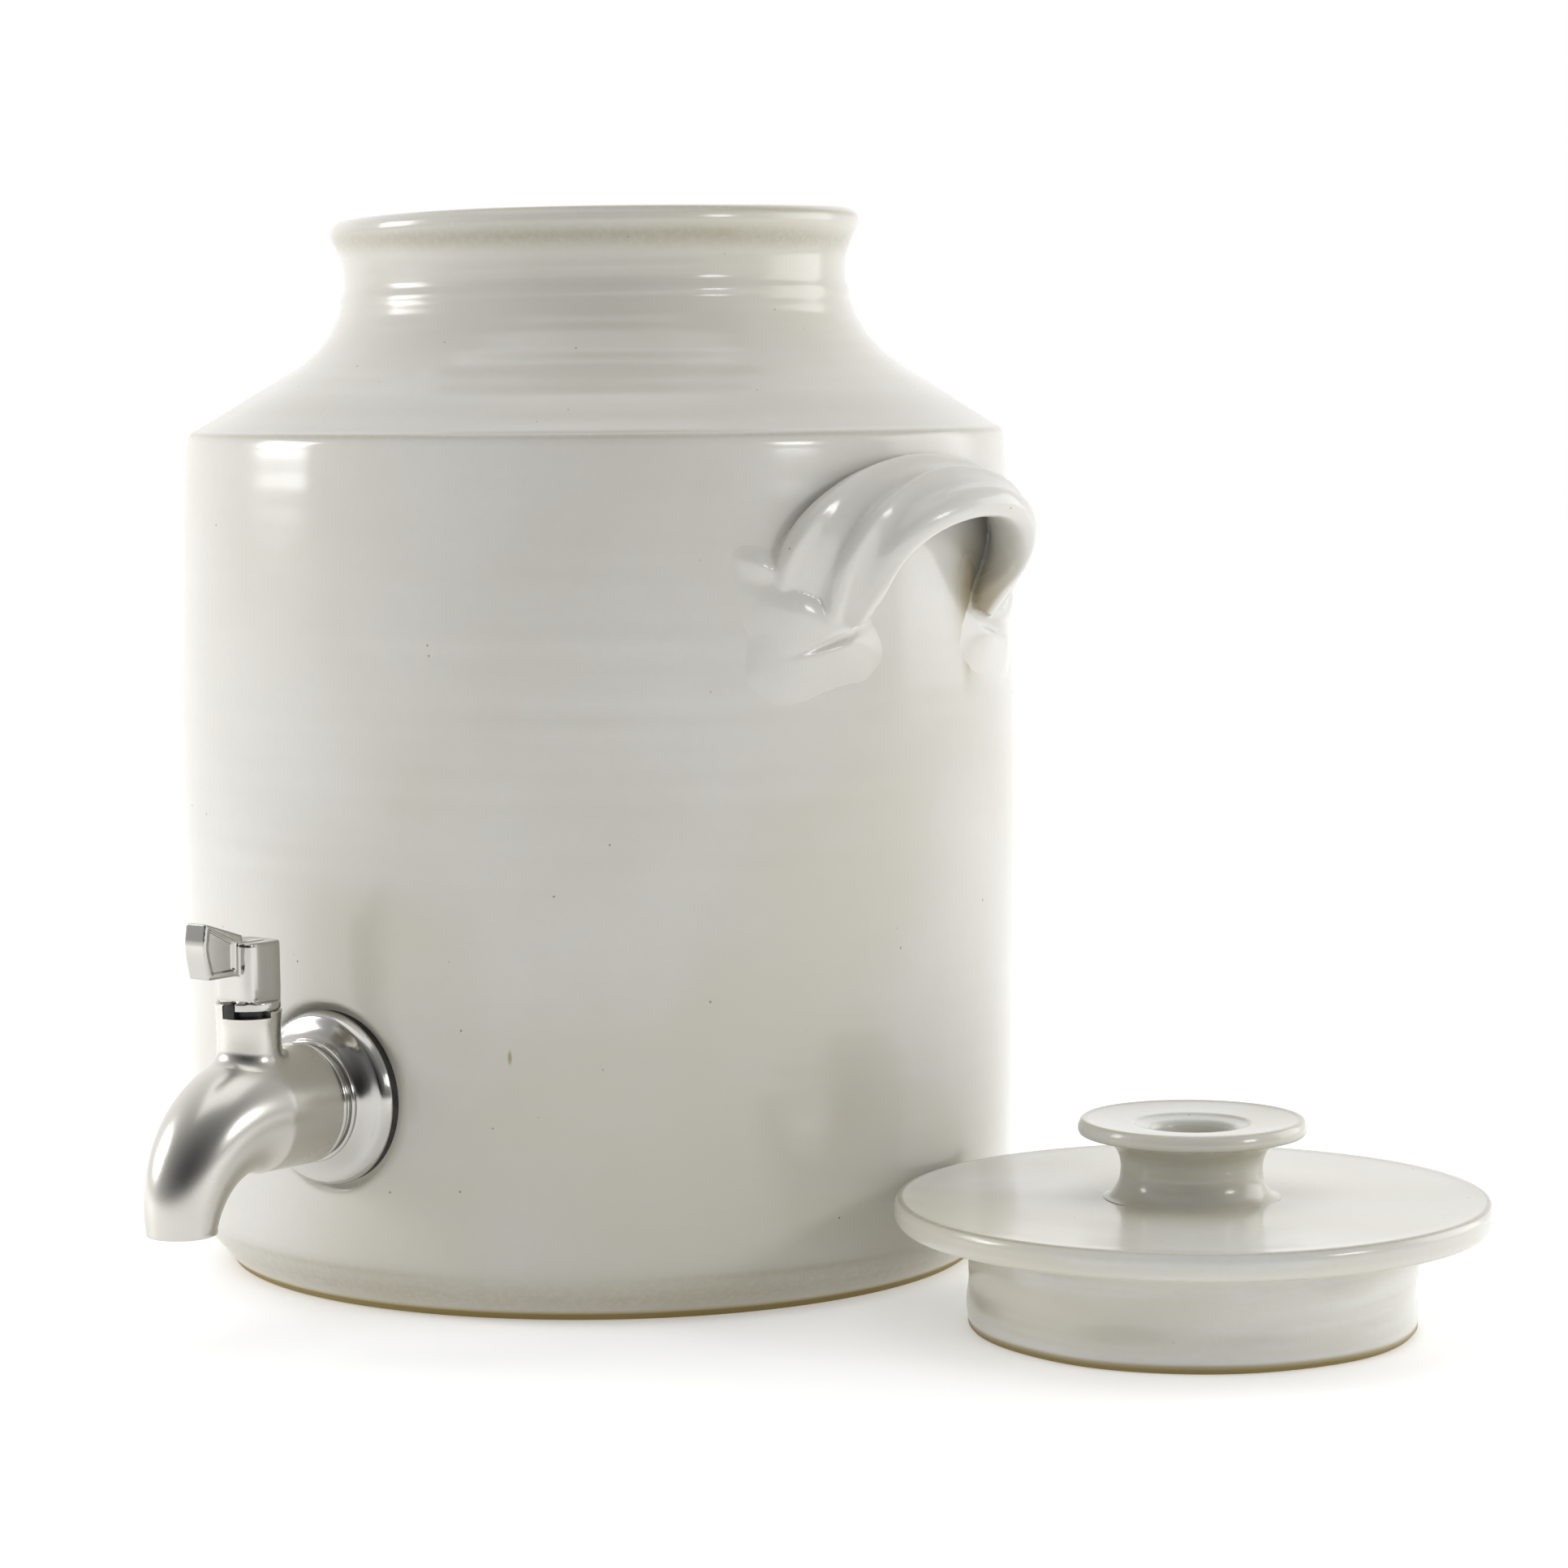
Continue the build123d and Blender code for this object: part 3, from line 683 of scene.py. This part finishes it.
def spout_ring(turn, ahead, radius):
    """A ring round the waterway, turn along the bend and ahead of it, in the spigot's own frame."""
    a = np.radians(FULL_TURN)
    centre = np.array([0, -BEND * (1 - cos(turn)), VALVE_Y + BEND * sin(turn)])
    forward = np.array([0, -sin(turn), cos(turn)])
    side = np.array([0, cos(turn), sin(turn)])
    out = np.outer(np.cos(a), [1, 0, 0]) + np.outer(np.sin(a), side)
    if radius < 1e-6:
        return (centre + forward * ahead)[None, :]
    return centre + forward * ahead + radius * out


def barrel_shell():
    """The barrel from the collar to the bend, the spout to its mouth, and back up its waterway."""
    back, end = COLLAR_FRONT - VALVE_Y, pi / 2
    start = [(0, back, 0), (0, back, 16.6), (0, back + 0.2, 17.0), (0, back + 0.6, 17.25)]
    barrel = [(0, d, BARREL_R + 0.15 * d / back) for d in np.linspace(back + 1.2, 0, 20)]
    shares = np.linspace(0.03, 1, 34)
    spout = [(share * end, 0, BARREL_R + (OUTLET_R - BARREL_R) * share) for share in shares]
    mouth = [(end, 0.6, OUTLET_R), (end, 1.2, OUTLET_R), (end, 1.5, 9.75), (end, 1.75, 9.5)]
    mouth += [(end, 1.8, 9.2), (end, 1.8, 7.9), (end, 1.6, 7.65), (end, 0, 7.6)]
    waterway = [(end, -3, 7.5), (1.3, 0, 7.3), (1.0, 0, 6.6), (0.9, 0, 0)]
    verts, faces = skin([spout_ring(*row) for row in start + barrel + spout + mouth + waterway])
    return on_tap(verts), faces


RIM_REST = TAP_Z + 29.1
RIM_NOTCH = TAP_Z + 27.5
RIM_RAISED = TAP_Z + 31.1
NECK_R = 9.0
# Where the rim of the neck changes height, in degrees round from the front.
RAISED_START, NOTCH_START, NOTCH_END = -97.5, -7.5, 86.0


def neck_shell(barrel):
    """The valve's neck, blended into the barrel under it, with a notched rim."""
    steps = np.array([RAISED_START, NOTCH_START, NOTCH_END])
    near = np.concatenate([steps - 1.6, steps - 0.35, steps + 0.35, steps + 1.6])
    angles = np.arange(-150, 210, 3.0)
    clear = np.min(np.abs(angles[:, None] - steps), axis=1) > 2.4
    angles = np.sort(np.r_[angles[clear], near])
    top = np.where(angles < RAISED_START, RIM_REST, RIM_RAISED)
    top = np.where(angles > NOTCH_START, RIM_NOTCH, top)
    top = np.where(angles > NOTCH_END, RIM_REST, top)
    tree = BVHTree.FromPolygons(barrel[0].tolist(), barrel[1])

    def drop(radius):
        """Heights of the barrel's skin under a ring."""
        heights = []
        for x, y, _ in ring(radius, 0, angles):
            hit = tree.ray_cast(Vector((x, y - VALVE_Y, 100)), Vector((0, 0, -1)))[0]
            heights.append(hit.z)
        return np.array(heights)

    reach = NECK_R + 3.0
    low, side = drop(NECK_R), drop(reach)
    start = low + 3.4
    ends = (reach, side - 0.03), (NECK_R, low + 0.1), (NECK_R, start)
    rows = [ring(0, TAP_Z + 6.0, angles), ring(reach, side - 1.5, angles)]
    for t in np.linspace(0, 1, 10):
        weights = ((1 - t) ** 2, 2 * t * (1 - t), t**2)
        radius = sum(w * e[0] for w, e in zip(weights, ends))
        height = sum(w * e[1] for w, e in zip(weights, ends))
        rows.append(ring(radius, height, angles))
    for share, radius in ((0.3, 8.95), (0.6, 8.9), (0.85, 9.0)):
        rows.append(ring(radius, start + (RIM_NOTCH - 1.2 - start) * share, angles))
    rim = [(9.15, 0.9), (9.28, 0.45), (9.25, 0.15), (9.0, 0.0), (6.85, 0.0), (6.6, 0.2), (6.5, 1.0)]
    rows += [ring(radius, top - below, angles) for radius, below in rim]
    rows += [ring(6.5, RIM_NOTCH - 6, angles), ring(0, RIM_NOTCH - 6, angles)]
    verts, faces = skin(rows)
    return on_valve(verts), faces


def spigot_mesh():
    """Barrel, spout and valve neck in one casting."""
    barrel = barrel_shell()
    return make_mesh("spigot_body", joined(barrel, neck_shell(barrel)))


piece("bezel", bezel_mesh(), "polished_steel", "crock", "escutcheon", sharp=50)
piece("bezel_rings", collar_mesh(), "polished_steel", "crock", "spigot_collar")
piece("spigot_shell", spigot_mesh(), "satin_steel", "crock", "spigot_body", sharp=50)


# ---------------------------------------------------------------- lever
HUB_BOTTOM = TAP_Z + 31.4
HUB_TOP = HUB_BOTTOM + 7.4
POST_TOP = HUB_TOP + 9.6
FIN_HALF = 3.65
FIN_LENGTH = 21.2
CAP_R = 3.2
CAP_REACH = 2.0
LEVER_VOXEL = 0.25


def post_shell():
    """Hub and post in one, a rounded square in plan."""
    outline = [(8.8, 0), (9.2, 0.4), (9.38, 1.4), (9.42, 4.0), (9.36, 11.8)]
    outline += [(9.3, 16.2), (9.15, 16.75), (8.6, 17.0)]
    a = np.radians(FULL_TURN)
    squareness = 0.76 / (np.abs(np.cos(a)) ** 6 + np.abs(np.sin(a)) ** 6) ** (1 / 6)
    rows = [ring(0, HUB_BOTTOM, FULL_TURN)]
    rows += [ring(radius * squareness, HUB_BOTTOM + height, FULL_TURN) for radius, height in outline]
    return skin(rows + [ring(0, POST_TOP, FULL_TURN)])


def stop_shell():
    """The lobe under the hub that turns in the neck's notch."""
    low, high = HUB_BOTTOM - 2, HUB_BOTTOM + 0.4
    section = [(6.7, low), (8.95, low), (8.95, high), (6.7, high)]
    turns = np.radians(np.linspace(18, 171, 52))
    return skin(capped([np.array([(r * sin(t), -r * cos(t), z) for r, z in section]) for t in turns]))


def fin_side(border, x):
    """The fin's outline at x, drawn in by border."""
    root = 5.7 + 2 * border
    low, tip = HUB_TOP + 0.7 + border, FIN_LENGTH - border
    high_tip, high_root = TAP_Z + 55.2 - border, TAP_Z + 50.6 - border
    edge = [(tip - 1.8, low), (tip - 0.1, low + 0.6 * (high_tip - low)), (tip - 0.9, high_tip)]
    points = np.vstack(
        [
            np.linspace((root, low), edge[0], 10)[:-1],
            smooth_line(edge, 1.2)[:-1],
            np.linspace(edge[2], (root, high_root), 10)[:-1],
            np.linspace((root, high_root), (root, low), 6)[:-1],
        ]
    )
    return np.stack([np.full(len(points), x), -points[:, 0], points[:, 1]], axis=1)


def resampled(loop, count):
    """A closed loop with count points, evenly spaced."""
    closed = np.vstack([loop, loop[:1]])
    d = np.r_[0, np.cumsum(np.linalg.norm(np.diff(closed, axis=0), axis=1))]
    t = np.linspace(0, d[-1], count, endpoint=False)
    return np.stack([np.interp(t, d, closed[:, k]) for k in range(3)], axis=1)


def fin_shell():
    """The fin, with a border round the sunk panel on each of its sides."""
    sides = [(1.9, FIN_HALF - 0.7), (1.55, FIN_HALF), (0.0, FIN_HALF), (0.0, 0.0)]
    sides += [(0.0, -FIN_HALF), (1.55, -FIN_HALF), (1.9, 0.7 - FIN_HALF)]
    return skin(capped([resampled(fin_side(border, x), 160) for border, x in sides]))


def lever_mesh():
    """Hub, post, stop and fin in one casting, with softened corners."""
    verts, faces = joined(post_shell(), stop_shell(), fin_shell())
    return remeshed("lever", (on_valve(verts), faces), LEVER_VOXEL, 6)


def cap_mesh():
    """An oblong plate, round at both ends, let into the top of the post."""
    a = np.radians(FULL_TURN)
    rows = [ring(0, POST_TOP - 1.0, FULL_TURN)]
    for inset, height in ((0, -1.0), (0, 0.0), (0.12, 0.16), (0.4, 0.22)):
        radius = CAP_R - inset
        x = radius * np.cos(a)
        y = radius * np.sin(a) + np.sign(np.sin(a)) * CAP_REACH
        rows.append(np.stack([x, y, np.full(len(a), POST_TOP + height)], axis=1))
    rows.append(ring(0, POST_TOP + 0.25, FULL_TURN))
    verts, faces = skin(rows)
    return make_mesh("lever_cap", (on_valve(verts), faces))


piece("lever_grip", lever_mesh(), "polished_steel", "lever", "lever")
piece("lever_plate", cap_mesh(), "polished_steel", "lever", "lever_cap", sharp=40)

# Pieces that keep the CAD's own shape. Nearly all of them are hidden.
KEPT = {
    "threaded_shank": "turned_steel",
    "outer_gasket": "gasket_rubber",
    "inner_gasket": "gasket_rubber",
    "inner_washer": "turned_steel",
    "shank_nut": "turned_steel",
    "shank_seal": "gasket_rubber",
    "valve_plug": "valve_plastic",
    "plug_seal_lower": "gasket_rubber",
    "plug_seal_upper": "gasket_rubber",
    "valve_retainer": "valve_plastic",
    "lever_washer": "turned_steel",
    "lever_screw": "turned_steel",
}
for name, kind in KEPT.items():
    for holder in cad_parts[name].material_slots:
        holder.material = MATERIALS[kind]


# ---------------------------------------------------------------- floor, light and camera
FLOOR_HALF = 6000
FLOOR_Z = -0.2
# From the object to the camera, and the camera's right, both level.
TOWARDS = np.array([0.588, -0.809, 0.0])
RIGHT = np.array([0.809, 0.588, 0.0])
PITCH, ROLL = 0.0928, 0.0069
LENS = 99.43
CAMERA_PLACE = (0.8211, -1.0344, 0.2643)
LIT_MIDDLE = np.array([0.03, 0, 0.15])


def floor_material():
    """Pale, and glowing with painted light that grows away from the object, so that it runs into the
    background.
    """
    t = Tree("pale_floor")
    colour = t.mix(t.noise(3.0), rgb(240, 240, 240), rgb(237, 237, 237))
    away = t.add("VectorMath", {0: t.place, 1: (-0.06, 0.0, 0.0)}, operation="ADD").outputs["Vector"]
    distance = t.add("VectorMath", {0: away}, operation="LENGTH").outputs["Value"]
    # Painted light: the floor glows, less near the object and more away from it.
    glow = t.ramp(distance, 0.15, 0.7, 0.36, 0.6)
    t.set(
        t.main,
        {
            "Base Color": colour,
            "Roughness": 0.6,
            "Emission Color": (1, 1, 1, 1),
            "Emission Strength": glow,
        },
    )
    return t.material


corners = np.array([(-1, -1), (1, -1), (1, 1), (-1, 1)]) * FLOOR_HALF
floor_shell = np.column_stack([corners, np.full(4, FLOOR_Z)]), [(0, 1, 2, 3)]
floor = bpy.data.objects.new("floor", make_mesh("floor", floor_shell))
bpy.context.scene.collection.objects.link(floor)
floor.data.materials.append(floor_material())


def softbox(name, azimuth, elevation, distance, width, height, energy):
    """A light that faces the object, at an azimuth from the camera's side to its right."""
    a, e = radians(azimuth), radians(elevation)
    away = (cos(a) * TOWARDS + sin(a) * RIGHT) * cos(e) + np.array([0, 0, sin(e)])
    data = bpy.data.lights.new(name, "AREA")
    data.shape = "RECTANGLE"
    data.size, data.size_y, data.energy = width, height, energy
    lamp = bpy.data.objects.new(name, data)
    lamp.location = Vector(LIT_MIDDLE + away * distance)
    lamp.rotation_euler = Vector(away).to_track_quat("Z", "Y").to_euler()
    bpy.context.scene.collection.objects.link(lamp)


softbox("left_box", -91, 17, 1.3, 0.45, 0.42, 5.5)
softbox("right_box", 57, 15.5, 1.5, 0.3, 0.24, 2.6)
softbox("right_wide", 108, 14, 1.5, 1.0, 0.8, 4.6)
softbox("top_box", 0, 86, 1.2, 1.1, 1.1, 3.2)


def build_world():
    """White where it is seen. Its light is strong from behind the object and fades to the front."""
    world = bpy.data.worlds.new("studio")
    bpy.context.scene.world = world
    world.use_nodes = True
    tree = world.node_tree
    tree.nodes.clear()

    def add(kind, **settings):
        made = tree.nodes.new("ShaderNode" + kind)
        for key, value in settings.items():
            setattr(made, key, value)
        return made

    link = tree.links.new
    facing = add("VectorMath", operation="DOT_PRODUCT")
    facing.inputs[1].default_value = TOWARDS.tolist()
    link(add("TexCoord").outputs["Generated"], facing.inputs[0])
    level = add("MapRange")
    for key, value in {"From Min": -0.8, "From Max": 1.0, "To Min": 1.16, "To Max": 0.0}.items():
        level.inputs[key].default_value = value
    link(facing.outputs["Value"], level.inputs["Value"])
    seen = add("Mix", data_type="FLOAT")
    link(add("LightPath").outputs["Is Camera Ray"], seen.inputs[0])
    link(level.outputs[0], seen.inputs[2])
    seen.inputs[3].default_value = 1.0
    light = add("Background")
    light.inputs[0].default_value = (1, 1, 1, 1)
    link(seen.outputs[0], light.inputs[1])
    link(light.outputs[0], add("OutputWorld").inputs[0])


def build_camera():
    """The camera, level but for its pitch and a slight roll."""
    data = bpy.data.cameras.new("camera")
    data.lens = LENS
    data.sensor_width = 36.0
    data.clip_end = 50.0
    camera = bpy.data.objects.new("camera", data)
    bpy.context.scene.collection.objects.link(camera)
    up = np.array([0, 0, 1.0])
    forward = -TOWARDS * cos(PITCH) - up * sin(PITCH)
    lift = up * cos(PITCH) - TOWARDS * sin(PITCH)
    right_way = RIGHT * cos(ROLL) - lift * sin(ROLL)
    up_way = lift * cos(ROLL) + RIGHT * sin(ROLL)
    turn = Matrix((right_way, up_way, -forward)).transposed().to_4x4()
    camera.matrix_world = Matrix.Translation(CAMERA_PLACE) @ turn
    bpy.context.scene.camera = camera


build_world()
build_camera()
bpy.context.scene.view_settings.view_transform = "Standard"
